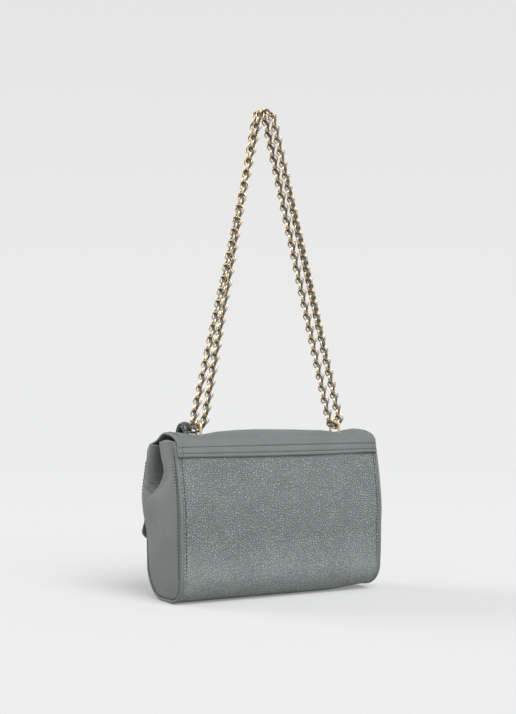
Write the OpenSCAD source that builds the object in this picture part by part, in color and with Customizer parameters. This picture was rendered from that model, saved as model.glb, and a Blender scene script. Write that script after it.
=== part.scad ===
// Small flap shoulder bag on a doubled chain strap, shown standing with the strap held up.
// +X runs along the width, -Y is the flap's front, +Z is up, and the bag stands on z = 0.

/* [Bag body] */
// Width over the side seams
bag_w = 210; // [190:1:240]
// Depth of the body from front panel to back panel
bag_d = 71; // [64:1:84]
// Height of the back panel's top edge
back_h = 142.7; // [134:0.1:156]
// How far the front panel's top edge lies below the back panel's
front_drop = 5.5; // [4:0.5:12]
// Radius of the rounded bottom edges
base_r = 28.5; // [22:0.5:30]
// How far the rounded bottom is pressed flat
base_press = 1.2; // [1:0.1:3]
// Height above which the panels lean in
lean_start = 65; // [50:1:80]
// How far the back panel's top edge leans forward
back_lean = 13.6; // [6:0.1:16]
// How far the front panel's top edge leans back
front_lean = 3.5; // [2.5:0.1:6]
// Thickness of the body leather
leather_t = 2; // [1.6:0.1:2.2]
// Thickness of the lining cloth
lining_t = 0.8; // [0.5:0.1:1]
// Thickness of the stiffening board in the base
board_t = 1.2; // [0.8:0.1:1.3]
// Width and depth of the turned piping along each side seam
piping_w = 3.4; // [2.5:0.1:4]

/* [Gussets] */
// Thickness of the gusset leather
gusset_t = 1.8; // [1.4:0.1:2.2]
// How far a gusset bulges outward low down
gusset_bulge = 2.4; // [0:0.1:3]
// Depth of the pleat at a gusset's top edge
pleat_depth = 4.5; // [2:0.1:7]
// Height at which the pleat dies out
pleat_low = 85; // [77:1:106]

/* [Flap] */
// How far the flap's ends stay in from the side seams
flap_margin = 2.5; // [1:0.5:8]
// Thickness of the flap's outer leather
flap_t = 1.8; // [1.2:0.1:1.9]
// How far the flap's sewn band reaches down the back panel
band_h = 13.4; // [8:0.2:24]
// How far below the back panel's top edge the flap folds open
fold_drop = 1; // [0.6:0.1:2]
// Height of the flap's crest above the back panel's top edge
crest_rise = 6.5; // [6:0.1:10]
// How far the flap's front face stands in front of the front panel
flap_stand = 10; // [8:0.1:11]
// Height of the flap's lower front edge
flap_low = 50; // [44:1:58]
// Radius of the flap's lower corners
flap_corner = 24; // [12:1:35]

/* [Chain strap] */
// Outer diameter of a chain link
link_d = 8.6; // [8.2:0.1:8.8]
// Wire diameter of a chain link
link_wire = 1.25; // [1.1:0.05:1.3]
// Height of the strap's top above the flap's crest
strap_rise = 296; // [220:1:400]
// Width of the leather ribbon woven through the chain
ribbon_w = 3.8; // [2.5:0.1:4.2]
// Thickness of that ribbon
ribbon_t = 0.9; // [0.6:0.1:1.2]
// How far each strap loop stays in from the bag's end
loop_in = 32.3; // [26:0.1:45]
// Wire diameter of a strap loop
loop_wire = 2.4; // [2:0.1:2.6]
// Centre distance of a strap loop's two legs
loop_span = 12.2; // [12:0.1:12.8]

/* [Lock] */
// Height of the lock's centre above the flap's lower edge
lock_rise = 21; // [17:1:28]
// Length of the lock plate
lock_l = 34; // [28:1:44]
// Height of the lock plate
lock_h = 23; // [18:1:28]
// Length of the turning knob
knob_l = 19; // [14:1:22]

/* [Leather fob] */
// How far the fob's middle lies outward of the strap loop
fob_out = 6.3; // [6:0.1:9]
// Width of the fob's strap
fob_strap_w = 9; // [7:0.5:9.5]
// Width of the hanging tag
fob_tag_w = 22; // [16:1:26]
// Length of the hanging tag
fob_tag_l = 46; // [36:1:56]

/* [Hidden] */

leather_col = [0.49, 0.53, 0.52];
dark_leather_col = [0.36, 0.40, 0.39];
lining_col = [0.27, 0.28, 0.27];
board_col = [0.62, 0.55, 0.44];
gold_col = [0.83, 0.71, 0.50];

// Clearances and the overrun of every cut
seam_gap = 0.1;
play = 0.3;
over = 1;
round_fn = 48;
arc_steps = 14;
wall_steps = 9;

// The body's section across the bag, as distances inset from the outer face
half_d = bag_d / 2;
front_h = back_h - front_drop;
base_mid = half_d - base_r;
base_rise = base_r - base_press;
panel_half = bag_w / 2 - piping_w;
lining_inset = leather_t + board_t + 2 * seam_gap;
facing_t = board_t;
facing_h = 26;
lining_short = 3;

function lean(z, top, amount) = amount * pow(max(0, z - lean_start) / (top - lean_start), 2);
function wall_y(side, z) = side > 0
    ? half_d - lean(z, back_h, back_lean)
    : lean(z, front_h, front_lean) - half_d;
function base_y(z, inset) = base_mid + sqrt(max(0, pow(base_r - inset, 2) - pow(base_rise - z, 2)));
function wall_in(side, z, inset) = z < base_rise ? side * base_y(z, inset) : wall_y(side, z) - side * inset;
function turned(points) = [for (i = [len(points) - 1 : -1 : 0]) points[i]];
function mix(a, b, share) = a + (b - a) * share;

// One side of the section, from the edge of the flat base up to a height
function side_line(side, inset, top) = concat(
    [for (i = [0 : arc_steps])
        let (a = asin((base_rise - inset) / (base_r - inset)) * (1 - i / arc_steps))
        [side * (base_mid + (base_r - inset) * cos(a)), base_rise - (base_r - inset) * sin(a)]],
    [for (i = [0 : wall_steps])
        let (z = mix(lean_start, top, i / wall_steps))
        [wall_y(side, z) - side * inset, z]]);
function base_end(inset) = [[-base_y(inset, inset), inset]];

module along_x(width) {
    rotate([90, 0, 90]) linear_extrude(height = width, center = true) children();
}

module back_sheet(inset, thickness, top, width) {
    along_x(width)
        polygon(concat(base_end(inset), side_line(1, inset, top),
            turned(concat(base_end(inset + thickness), side_line(1, inset + thickness, top)))));
}

module front_sheet(inset, thickness, top, width) {
    along_x(width)
        polygon(concat(side_line(-1, inset, top), turned(side_line(-1, inset + thickness, top))));
}

// A strip of the wall between two heights
module wall_strip(side, inset, thickness, low, top, width) {
    heights = [for (i = [0 : wall_steps]) mix(low, top, i / wall_steps)];
    along_x(width)
        polygon(concat(
            [for (z = heights) [wall_y(side, z) - side * inset, z]],
            [for (z = turned(heights)) [wall_y(side, z) - side * (inset + thickness), z]]));
}

module back_panel() {
    color(leather_col) back_sheet(0, leather_t, back_h, 2 * panel_half);
}

// The lock's keeper is riveted through the front panel
keeper_l = 27;
keeper_h = 13;
keeper_t = 0.8;
keeper_rivet_in = 2.2;
keeper_rivet_x = keeper_l / 2 - keeper_rivet_in;
lock_z = flap_low + lock_rise;
rivet_r = 1.2;
rivet_hole_r = rivet_r + seam_gap / 2;

module keeper_rivet_places() {
    for (side = [-1, 1])
        translate([side * keeper_rivet_x, 0, lock_z]) rotate([90, 0, 0]) children();
}

module front_panel() {
    color(leather_col) difference() {
        front_sheet(0, leather_t, front_h, 2 * panel_half);
        translate([0, leather_t - half_d + over, 0]) keeper_rivet_places()
            cylinder(h = leather_t + 2 * over, r = rivet_hole_r, $fn = round_fn);
    }
}

module piping() {
    translate([panel_half + piping_w / 2, 0, 0]) {
        back_sheet(0, piping_w, back_h, piping_w);
        front_sheet(0, piping_w, front_h, piping_w);
    }
}

module piping_right() { color(leather_col) piping(); }
module piping_left() { color(leather_col) mirror([1, 0, 0]) piping(); }

// A gusset is one sheet between the two panels, with a bulge low down and a pleat above
gusset_cols = 18;
gusset_rows = 16;
pleat_share = 0.27;
pleat_width_share = 0.12;
gusset_dip = 2.5;
gusset_corner_drop = 0.5;
side_lining_gap = 0.8;
gusset_x = panel_half - 2 * seam_gap;
gusset_inset = leather_t + seam_gap;

function ease(share) = 1 - cos(90 * share);
function pleat(u) = exp(-pow((u - pleat_share) / pleat_width_share, 2));
function gusset_top(u) = mix(front_h, back_h, u) - gusset_corner_drop - gusset_dip * pleat(u);
function gusset_x_at(u, z, top) =
    let (rise = max(0, (z - pleat_low) / (top - pleat_low)))
    gusset_x + gusset_bulge * pow(sin(180 * u), 2) * pow(sin(180 * min(1, z / lean_start / 2)), 2)
    - pleat_depth * rise * pleat(u);
// Share of the way across from the gusset's front edge to its back edge
function place_across(y, z) =
    let (front = wall_in(-1, z, gusset_inset), back = wall_in(1, z, gusset_inset))
    (y - front) / (back - front);
function gusset_points(edge_inset, depth, drop) = [for (j = [0 : gusset_rows]) for (i = [0 : gusset_cols])
    let (z = mix(edge_inset, gusset_top(i / gusset_cols) - drop, ease(j / gusset_rows)),
        y = mix(wall_in(-1, z, edge_inset), wall_in(1, z, edge_inset), i / gusset_cols),
        u = place_across(y, z))
    [gusset_x_at(u, z, gusset_top(u)) - depth, y, z]];

module gusset_sheet(edge_inset, depth, thickness, drop) {
    outer = gusset_points(edge_inset, depth, drop);
    inner = gusset_points(edge_inset, depth + thickness, drop);
    row = gusset_cols + 1;
    count = len(outer);
    face = [for (j = [0 : gusset_rows - 1]) for (i = [0 : gusset_cols - 1])
        [j * row + i, (j + 1) * row + i, (j + 1) * row + i + 1, j * row + i + 1]];
    rim = concat(
        [for (i = [0 : gusset_cols - 1]) [i, i + 1]],
        [for (j = [0 : gusset_rows - 1]) [j * row + gusset_cols, (j + 1) * row + gusset_cols]],
        [for (i = [gusset_cols - 1 : -1 : 0]) [gusset_rows * row + i + 1, gusset_rows * row + i]],
        [for (j = [gusset_rows - 1 : -1 : 0]) [(j + 1) * row, j * row]]);
    polyhedron(concat(outer, inner), concat(
        [for (f = face) [f[0], f[1], f[2]]],
        [for (f = face) [f[0], f[2], f[3]]],
        [for (f = face) [count + f[2], count + f[1], count + f[0]]],
        [for (f = face) [count + f[3], count + f[2], count + f[0]]],
        [for (e = rim) [e[0], e[1], count + e[1]]],
        [for (e = rim) [e[0], count + e[1], count + e[0]]]));
}

module gusset() { gusset_sheet(gusset_inset, 0, gusset_t, 0); }
module gusset_right() { color(leather_col) gusset(); }
module gusset_left() { color(leather_col) mirror([1, 0, 0]) gusset(); }

module lining_side() {
    gusset_sheet(lining_inset + lining_t + seam_gap, gusset_t + side_lining_gap, lining_t, lining_short);
}
module lining_side_right() { color(lining_col) lining_side(); }
module lining_side_left() { color(lining_col) mirror([1, 0, 0]) lining_side(); }

// Board, lining and facings inside the leather
lining_half = panel_half - gusset_t - side_lining_gap;
module base_board() {
    board_w = 2 * (lining_half - over);
    board_half = base_y(leather_t, leather_t) - over;
    color(board_col) translate([-board_w / 2, -board_half, leather_t])
        cube([board_w, 2 * board_half, board_t]);
}
module lining_back() {
    color(lining_col) back_sheet(lining_inset, lining_t, back_h - lining_short, 2 * lining_half);
}
module lining_front() {
    color(lining_col) front_sheet(lining_inset, lining_t, front_h - lining_short, 2 * lining_half);
}
module facing_back() {
    color(leather_col)
        wall_strip(1, leather_t + seam_gap, facing_t, back_h - facing_h, back_h, 2 * lining_half);
}
module facing_front() {
    color(leather_col)
        wall_strip(-1, leather_t + seam_gap, facing_t, front_h - facing_h, front_h, 2 * lining_half);
}

pocket_w = 124;
pocket_low = 38;
pocket_top = 105;
module slip_pocket() {
    color(lining_col)
        wall_strip(1, lining_inset + lining_t + 2 * seam_gap, lining_t, pocket_low, pocket_top, pocket_w);
}

// The flap's outer face: up from the fold, over the crest, down to a brow where the flap rests on
// the front panel's top edge, and round the shoulder to the front
flap_w = bag_w - 2 * flap_margin;
flap_front = half_d + flap_stand;
band_low = back_h - band_h;
fold_z = back_h - fold_drop;
crest_z = back_h + crest_rise;
flap_stack = flap_t + seam_gap + lining_t;
crest_y = 5;
fold_y = wall_y(1, fold_z) + seam_gap + flap_stack;
shoulder_drop = 14.5;
shoulder_z = front_h - shoulder_drop;
flap_turn_h = 9;
front_turn_z = flap_low + flap_turn_h;
flap_tuck = 1.5;
fold_pull = 5;
crest_back_pull = 9;
crest_front_pull = 14;
brow_back_pull = 13.5;
brow_front_pull = 9;
brow_fall = 12;
shoulder_pull = 12;
fold_slope = atan(2 * back_lean * (fold_z - lean_start) / pow(back_h - lean_start, 2));
back_curve_steps = 8;
crest_steps = 10;
shoulder_steps = 8;

function bend(a, b, c, d, t) = pow(1 - t, 3) * a + 3 * t * pow(1 - t, 2) * b
    + 3 * t * t * (1 - t) * c + t * t * t * d;
fold_point = [fold_y, fold_z + play / 2];
crest_point = [crest_y, crest_z];
brow_point = [front_lean - half_d, front_h + flap_stack + 2 * play];
brow_way = [-cos(brow_fall), -sin(brow_fall)];
shoulder_point = [-flap_front, shoulder_z];
flap_line = concat(
    [for (i = [0 : back_curve_steps - 1])
        bend(fold_point, fold_point + fold_pull * [-sin(fold_slope), cos(fold_slope)],
            crest_point + [crest_back_pull, 0], crest_point, i / back_curve_steps)],
    [for (i = [0 : crest_steps - 1])
        bend(crest_point, crest_point - [crest_front_pull, 0],
            brow_point - brow_back_pull * brow_way, brow_point, i / crest_steps)],
    [for (i = [0 : shoulder_steps])
        bend(brow_point, brow_point + brow_front_pull * brow_way,
            shoulder_point + [0, shoulder_pull], shoulder_point, i / shoulder_steps)],
    [[-flap_front, front_turn_z], [flap_tuck - flap_front, flap_low]]);

function unit(v) = v / norm(v);
function line_normal(points, i) =
    let (a = points[max(0, i - 1)], b = points[min(len(points) - 1, i + 1)], d = unit(b - a))
    [-d[1], d[0]];
function moved_in(depth, first) = [for (i = [first : len(flap_line) - 1])
    flap_line[i] + depth * (i == 0 ? [-1, 0] : line_normal(flap_line, i))];

module flap_corners() {
    for (side = [-1, 1])
        translate([side * (flap_w / 2 - flap_corner), brow_point[0], flap_low + flap_corner])
            rotate([90, 0, 0]) linear_extrude(height = flap_front) difference() {
                translate([side > 0 ? 0 : -flap_corner - over, -flap_corner - over])
                    square(flap_corner + over);
                circle(r = flap_corner, $fn = 2 * round_fn);
            }
}

module flap_sheet(depth, thickness, first) {
    difference() {
        along_x(flap_w)
            polygon(concat(moved_in(depth, first), turned(moved_in(depth + thickness, first))));
        flap_corners();
    }
}

// Holes for the strap loops' legs and for the lock's spindle
loop_x = bag_w / 2 - loop_in;
loop_y = 3;
loop_turn = 8;
leg_r = loop_wire / 2;
leg_hole_r = leg_r + seam_gap / 2;
spindle_r = 2.6;
spindle_hole_r = spindle_r + play;
screw_r = 0.9;
screw_in = 4.5;
screw_x = lock_l / 2 - screw_in;
loop_plate_t = 1;
loop_plate_l = 17;
loop_plate_w = 8;
crest_fall = 1.1;
loop_plate_top = crest_z - flap_stack - 2 * seam_gap - crest_fall;

module at_loop(side) {
    translate([side * loop_x, loop_y, 0]) rotate([0, 0, side * -loop_turn]) children();
}
module leg_holes() {
    for (side = [-1, 1]) at_loop(side) for (leg = [-1, 1])
        translate([0, leg * loop_span / 2, loop_plate_top])
            cylinder(h = crest_z - loop_plate_top + over, r = leg_hole_r, $fn = round_fn);
}
module lock_holes(spindle_hole, screw_hole) {
    translate([0, over - flap_front + flap_stack, lock_z]) rotate([90, 0, 0]) {
        cylinder(h = flap_stack + 2 * over, r = spindle_hole, $fn = round_fn);
        for (side = [-1, 1])
            translate([side * screw_x, 0, 0])
                cylinder(h = flap_stack + 2 * over, r = screw_hole, $fn = round_fn);
    }
}

module flap_band() {
    color(leather_col)
        wall_strip(1, -seam_gap - flap_stack, flap_stack, band_low, fold_z - play / 2, flap_w);
}
module flap() {
    color(leather_col) difference() {
        flap_sheet(0, flap_t, 0);
        leg_holes();
        lock_holes(spindle_hole_r, screw_r + seam_gap / 2);
    }
}
// The flap's lining starts at a step of the line above the back panel's top edge
lining_from = 3;
module flap_lining() {
    color(dark_leather_col) difference() {
        flap_sheet(flap_t + seam_gap, lining_t, lining_from);
        leg_holes();
        lock_holes(spindle_hole_r, screw_r + seam_gap / 2);
    }
}

// Turn lock: plate, knob, spindle and tongue on the flap, keeper on the front panel
plate_t = 1.6;
back_plate_t = 0.8;
back_plate_shrink = 6;
tongue_l = 16;
tongue_w = 4.4;
tongue_t = 1.2;
knob_w = 7;
knob_t = 3.6;
lip_reach = 3.4;
lip_t = 0.7;
post_t = 1;
lip_h = 6;
back_plate_y = flap_stack + seam_gap - flap_front;
lip_front_y = back_plate_y + back_plate_t + play;
tongue_front_y = lip_front_y + lip_t + play;
knob_back = -flap_front - plate_t - play;

// A plate with two round ends, its face in the XZ plane and its thickness towards -Y
module round_plate(length, width, thickness) {
    rotate([90, 0, 0]) {
        translate([-(length - width) / 2, -width / 2, 0])
            cube([length - width, width, thickness]);
        for (side = [-1, 1])
            translate([side * (length - width) / 2, 0, 0])
                cylinder(h = thickness, r = width / 2, $fn = 2 * round_fn);
    }
}

module lock_plate() {
    color(gold_col) difference() {
        translate([0, -flap_front, lock_z]) round_plate(lock_l, lock_h, plate_t);
        translate([0, -plate_t, 0]) lock_holes(spindle_hole_r, screw_r + seam_gap / 2);
    }
}
module lock_back_plate() {
    color(gold_col) difference() {
        translate([0, back_plate_y + back_plate_t, lock_z])
            round_plate(lock_l - back_plate_shrink, lock_h - back_plate_shrink, back_plate_t);
        translate([0, back_plate_t, 0]) lock_holes(spindle_hole_r, screw_r + seam_gap / 2);
    }
}
screw_head_r = 1.7;
screw_head_t = 0.6;
screw_l = back_plate_y + back_plate_t + flap_front + plate_t;
module lock_screws() {
    color(gold_col) for (side = [-1, 1])
        translate([side * screw_x, back_plate_y + back_plate_t, lock_z]) rotate([90, 0, 0]) {
            cylinder(h = screw_l, r = screw_r, $fn = round_fn);
            translate([0, 0, screw_l]) cylinder(h = screw_head_t, r = screw_head_r, $fn = round_fn);
        }
}
module lock_spindle() {
    color(gold_col) translate([0, tongue_front_y, lock_z]) rotate([90, 0, 0])
        cylinder(h = tongue_front_y - knob_back, r = spindle_r, $fn = round_fn);
}
module turn_knob() {
    color(gold_col) translate([0, knob_back, lock_z]) {
        round_plate(knob_l, knob_w, knob_t / 2);
        translate([0, -knob_t / 2, 0]) round_plate(knob_l - knob_t / 2, knob_w - knob_t / 2, knob_t / 2);
    }
}
module lock_tongue() {
    color(gold_col) translate([0, tongue_front_y + tongue_t, lock_z]) rotate([0, 90, 0])
        round_plate(tongue_l, tongue_w, tongue_t);
}

post_len = -half_d - keeper_t - lip_front_y;
module keeper() {
    color(gold_col) {
        difference() {
            translate([0, -half_d, lock_z]) round_plate(keeper_l, keeper_h, keeper_t);
            translate([0, over - half_d, 0]) keeper_rivet_places()
                cylinder(h = keeper_t + 2 * over, r = rivet_hole_r, $fn = round_fn);
        }
        for (side = [-1, 1]) translate([side * (tongue_l / 2 + play + post_t / 2), 0, lock_z]) {
            translate([-post_t / 2, lip_front_y, -lip_h / 2]) cube([post_t, post_len, lip_h]);
            translate([side > 0 ? -lip_reach : 0, lip_front_y, -lip_h / 2])
                cube([lip_reach, lip_t, lip_h]);
        }
    }
}
backing_t = 1;
backing_lean = lean(lock_z + keeper_h / 2, front_h, front_lean);
backing_back = leather_t - half_d + backing_lean + seam_gap + backing_t;
rivet_l = backing_back + half_d + keeper_t;
rivet_head_t = 0.5;
rivet_head_r = 2;
module keeper_rivets() {
    color(gold_col) translate([0, backing_back, 0]) keeper_rivet_places() {
        cylinder(h = rivet_l, r = rivet_r, $fn = round_fn);
        translate([0, 0, rivet_l]) cylinder(h = rivet_head_t, r = rivet_head_r, $fn = round_fn);
    }
}
module keeper_backing() {
    color(gold_col) difference() {
        translate([0, backing_back, lock_z]) round_plate(keeper_l, keeper_h, backing_t);
        translate([0, backing_back + over, 0]) keeper_rivet_places()
            cylinder(h = backing_t + 2 * over, r = rivet_hole_r, $fn = round_fn);
    }
}

// Strap loops: wire staples through the flap, held by a plate under it
link_r = (link_d - link_wire) / 2;
loop_centre_z = crest_z + play + link_d / 2;
module strap_loop(side) {
    at_loop(side) {
        for (leg = [-1, 1])
            translate([0, leg * loop_span / 2, loop_plate_top])
                cylinder(h = loop_centre_z - loop_plate_top, r = leg_r, $fn = round_fn);
        translate([0, 0, loop_centre_z]) rotate([90, 0, 90])
            rotate_extrude(angle = 180, $fn = 2 * round_fn)
                translate([loop_span / 2, 0]) circle(r = leg_r, $fn = round_fn);
    }
}
module loop_plate(side) {
    at_loop(side)
        translate([-loop_plate_w / 2, -loop_plate_l / 2, loop_plate_top - loop_plate_t])
            cube([loop_plate_w, loop_plate_l, loop_plate_t]);
}
module strap_loop_right() { color(gold_col) strap_loop(1); }
module strap_loop_left() { color(gold_col) strap_loop(-1); }
module loop_plate_right() { color(gold_col) loop_plate(1); }
module loop_plate_left() { color(gold_col) loop_plate(-1); }

// The chain is one closed loop: two runs over the top, joined by a turn through each strap loop.
// A link reaches from one joint point to the next, and every second link is turned a quarter.
link_play = 0.3;
turn_play = 0.6;
pitch = link_d - 2 * link_wire - link_play;
turn_pitch = link_d - 2 * link_wire - turn_play;
turn_angle = 56;
arch_angle = 62;
arch_top_angle = 20;
link_roll = 45;
run_twist = -30;
run_spread = 11;
strap_top = [5, 2, crest_z + strap_rise];

function step_sum(angles, i) =
    i == 0 ? [0, 0] : step_sum(angles, i - 1) + [cos(angles[i - 1]), sin(angles[i - 1])];
// Joint points of links that follow each other at the given angles, about a middle point
function walk(angles, middle) =
    let (sums = [for (i = [0 : len(angles)]) step_sum(angles, i)],
        half = sums[len(angles)][0] / 2,
        level = sums[floor(len(angles) / 2)][1])
    [for (p = sums) middle + turn_pitch * [p[0] - half, 0, p[1] - level]];
function strand(foot, head, extra) =
    let (count = 2 * ceil(norm(head - foot) / pitch / 2) + extra)
    [for (i = [0 : count - 1]) mix(foot, head, i / count)];

turn_angles = [-turn_angle, 0, turn_angle];
right_turn = walk(turn_angles, [loop_x, loop_y, loop_centre_z]);
left_turn = walk(turn_angles, [-loop_x, loop_y, loop_centre_z]);
outer_arch = walk([arch_angle, arch_top_angle, -arch_top_angle, -arch_angle],
    strap_top + [0, run_spread / 2, 0]);
inner_arch = turned(walk([arch_angle, 0, -arch_angle], strap_top - [0, run_spread / 2, 0]));
outer_run = concat(strand(left_turn[0], outer_arch[0], 0), outer_arch,
    turned(strand(right_turn[3], outer_arch[4], 1)));
inner_run = concat(strand(right_turn[0], inner_arch[0], 0), inner_arch,
    turned(strand(left_turn[3], inner_arch[3], 0)));
joints = concat(outer_run, [right_turn[2], right_turn[1]], inner_run, [left_turn[2], left_turn[1]]);
joint_count = len(joints);
outer_end = len(outer_run) - 1;
inner_start = outer_end + len(turn_angles);
inner_end = joint_count - len(turn_angles);
function joint(i) = joints[(i + joint_count) % joint_count];

// Direction along a link, and the two directions square to it
function link_frame(a, b, roll) =
    let (d = unit(b - a),
        e = unit([0, 1, 0] - d[1] * d),
        n = cross(d, e),
        w = cos(roll) * e + sin(roll) * n)
    [d, w, cross(d, w)];
function roll_at(i) = link_roll + (i % 2) * 90
    + (i < outer_end ? run_twist * pow(sin(360 * i / outer_end), 2) : 0);

module links(first, last) {
    for (i = [first : last - 1]) {
        f = link_frame(joint(i), joint(i + 1), roll_at(i));
        middle = (joint(i) + joint(i + 1)) / 2;
        multmatrix([for (r = [0 : 2]) [f[0][r], f[1][r], f[2][r], middle[r]]])
            rotate_extrude($fn = round_fn)
                translate([link_r, 0]) circle(r = link_wire / 2, $fn = round_fn);
    }
}
module chain_outer() { color(gold_col) links(0, outer_end); }
module chain_inner() { color(gold_col) links(inner_start, inner_end); }
module chain_turns() {
    color(gold_col) {
        links(outer_end, inner_start);
        links(inner_end, joint_count);
    }
}

// The ribbon passes in front of one joint and behind the next
ribbon_throw = 1.5;
module ribbon(first, last) {
    rings = [for (i = [first : last])
        let (f = link_frame(joint(i - 1), joint(i + 1), 0),
            centre = joint(i) + (i % 2 == 0 ? ribbon_throw : -ribbon_throw) * f[1])
        [for (corner = [[-1, -1], [1, -1], [1, 1], [-1, 1]])
            centre + corner[0] * ribbon_w / 2 * f[2] + corner[1] * ribbon_t / 2 * f[1]]];
    n = len(rings) - 1;
    polyhedron([for (r = rings) for (p = r) p], concat(
        [[2, 1, 0], [3, 2, 0]],
        [for (i = [0 : n - 1]) for (k = [0 : 3]) let (m = (k + 1) % 4)
            [4 * i + k, 4 * i + m, 4 * i + 4 + m]],
        [for (i = [0 : n - 1]) for (k = [0 : 3]) let (m = (k + 1) % 4)
            [4 * i + k, 4 * i + 4 + m, 4 * i + 4 + k]],
        [[4 * n, 4 * n + 1, 4 * n + 2], [4 * n, 4 * n + 2, 4 * n + 3]]));
}
module ribbon_outer() { color(dark_leather_col) ribbon(0, inner_start); }
module ribbon_inner() { color(dark_leather_col) ribbon(inner_start, joint_count); }

// Fob: a strap held by the right strap loop's front leg, humped over the crest, and a tag below
fob_strap_t = 2.2;
fob_tab_t = 1;
fob_tab_back = 0.2;
fob_tab_front = -5.5;
fob_x = loop_x + fob_out;
fob_hump_steps = 10;
fob_rise = [-1.5, 12];
fob_fall = [3, 17];
fob_hold = crest_steps - 2;
fob_tab_z = crest_z + seam_gap + fob_tab_t / 2;
fob_line = moved_in(-play - fob_strap_t / 2, 0);
fob_start = [fob_tab_front, fob_tab_z];
fob_land = fob_line[back_curve_steps + fob_hold];
fob_path = concat(
    [[fob_tab_back, fob_tab_z]],
    [for (i = [0 : fob_hump_steps]) bend(fob_start, fob_start + fob_rise,
        fob_land + fob_fall, fob_land, i / fob_hump_steps)],
    [for (i = [fob_hold + 1 : crest_steps + shoulder_steps]) fob_line[back_curve_steps + i]]);
function fob_half(i) = i < 2 ? fob_tab_t / 2 : fob_strap_t / 2;
fob_low = fob_path[len(fob_path) - 1][1];
fob_face = flap_front + play;
fob_collar = 1.6;

module fob_strap() {
    n = len(fob_path) - 1;
    leg_at = [loop_x - loop_span / 2 * sin(loop_turn), loop_y - loop_span / 2 * cos(loop_turn)];
    collar_x = leg_at[0] - leg_hole_r - fob_collar;
    color(dark_leather_col) difference() {
        union() {
            translate([fob_x, 0, 0]) along_x(fob_strap_w)
                polygon(concat(
                    [for (i = [0 : n]) fob_path[i] - fob_half(i) * line_normal(fob_path, i)],
                    [for (i = [n : -1 : 0]) fob_path[i] + fob_half(i) * line_normal(fob_path, i)]));
            translate([collar_x, fob_tab_front, fob_tab_z - fob_tab_t / 2])
                cube([fob_x - collar_x, fob_tab_back - fob_tab_front, fob_tab_t]);
        }
        translate([leg_at[0], leg_at[1], fob_tab_z - over])
            cylinder(h = 2 * over, r = leg_hole_r, $fn = round_fn);
    }
}

tag_t = 3;
module fob_tag() {
    color(dark_leather_col)
        translate([fob_x, -fob_face, fob_low - play - fob_tag_l / 2]) rotate([0, 90, 0])
            round_plate(fob_tag_l, fob_tag_w, tag_t);
}
stud_r = 4.2;
stud_t = 1.4;
stud_cap_share = 0.7;
module fob_stud() {
    color(gold_col) translate([fob_x, -fob_face - tag_t, fob_low - play - fob_tag_w / 2])
        rotate([90, 0, 0]) {
            cylinder(h = stud_t / 2, r = stud_r, $fn = round_fn);
            translate([0, 0, stud_t / 2])
                cylinder(h = stud_t / 2, r = stud_r * stud_cap_share, $fn = round_fn);
        }
}

back_panel();
front_panel();
gusset_right();
gusset_left();
piping_right();
piping_left();
base_board();
lining_back();
lining_front();
lining_side_right();
lining_side_left();
facing_back();
facing_front();
slip_pocket();
flap_band();
flap();
flap_lining();
lock_plate();
lock_screws();
lock_back_plate();
turn_knob();
lock_spindle();
lock_tongue();
keeper();
keeper_rivets();
keeper_backing();
strap_loop_right();
strap_loop_left();
loop_plate_right();
loop_plate_left();
chain_outer();
chain_inner();
chain_turns();
ribbon_outer();
ribbon_inner();
fob_strap();
fob_tag();
fob_stud();
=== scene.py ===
import math
import bmesh
import bpy
import numpy as np
from mathutils import Matrix, Vector


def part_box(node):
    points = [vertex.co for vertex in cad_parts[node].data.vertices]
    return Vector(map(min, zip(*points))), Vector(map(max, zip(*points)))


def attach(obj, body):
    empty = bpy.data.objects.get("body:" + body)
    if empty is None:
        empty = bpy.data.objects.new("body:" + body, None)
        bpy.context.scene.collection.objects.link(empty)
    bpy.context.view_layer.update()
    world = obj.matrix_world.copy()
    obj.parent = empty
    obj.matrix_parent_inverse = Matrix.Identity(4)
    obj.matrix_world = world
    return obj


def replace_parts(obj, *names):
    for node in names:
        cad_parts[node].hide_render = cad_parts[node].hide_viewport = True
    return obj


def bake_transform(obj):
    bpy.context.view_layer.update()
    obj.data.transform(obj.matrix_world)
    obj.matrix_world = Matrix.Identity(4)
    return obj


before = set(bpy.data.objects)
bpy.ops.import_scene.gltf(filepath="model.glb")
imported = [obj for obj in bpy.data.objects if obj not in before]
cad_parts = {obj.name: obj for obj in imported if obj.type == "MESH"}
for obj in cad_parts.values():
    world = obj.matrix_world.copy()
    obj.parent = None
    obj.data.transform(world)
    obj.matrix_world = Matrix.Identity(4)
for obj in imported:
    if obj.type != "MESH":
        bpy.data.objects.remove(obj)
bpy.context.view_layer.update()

# Camera: it stands behind the bag, a little past its fob end, and lower than the middle of the raised
# strap. Its long lens sees the back panel and one gusset.
toward_camera = Vector((0.4973, 0.8673, -0.0227)).normalized()
camera_right = Vector((-0.8675, 0.4975, 0.0)).normalized()
camera_place = (0.63079, 1.08355, 0.18972)


def put_in_scene(name, data):
    """A new object of a mesh, lamp or camera, at the origin."""
    made = bpy.data.objects.new(name, data)
    bpy.context.collection.objects.link(made)
    return made


camera_data = bpy.data.cameras.new("camera")
camera_data.lens = 68.18
camera_data.sensor_width = 36
camera = put_in_scene("camera", camera_data)
camera.matrix_world = Matrix.Translation(camera_place) @ Matrix(
    (camera_right, toward_camera.cross(camera_right), toward_camera)).transposed().to_4x4()
bpy.context.scene.camera = camera

# Studio light: an even pale sky, one soft lamp high over the camera's right shoulder and a weaker one
# low at its left, beyond the bag. The camera and polished things see the sky in its own pale colour.
HORIZON_TONE, UPPER_TONE = (0.838, 0.842, 0.848, 1), (0.785, 0.785, 0.790, 1)
UPPER_FROM = 0.27


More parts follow.
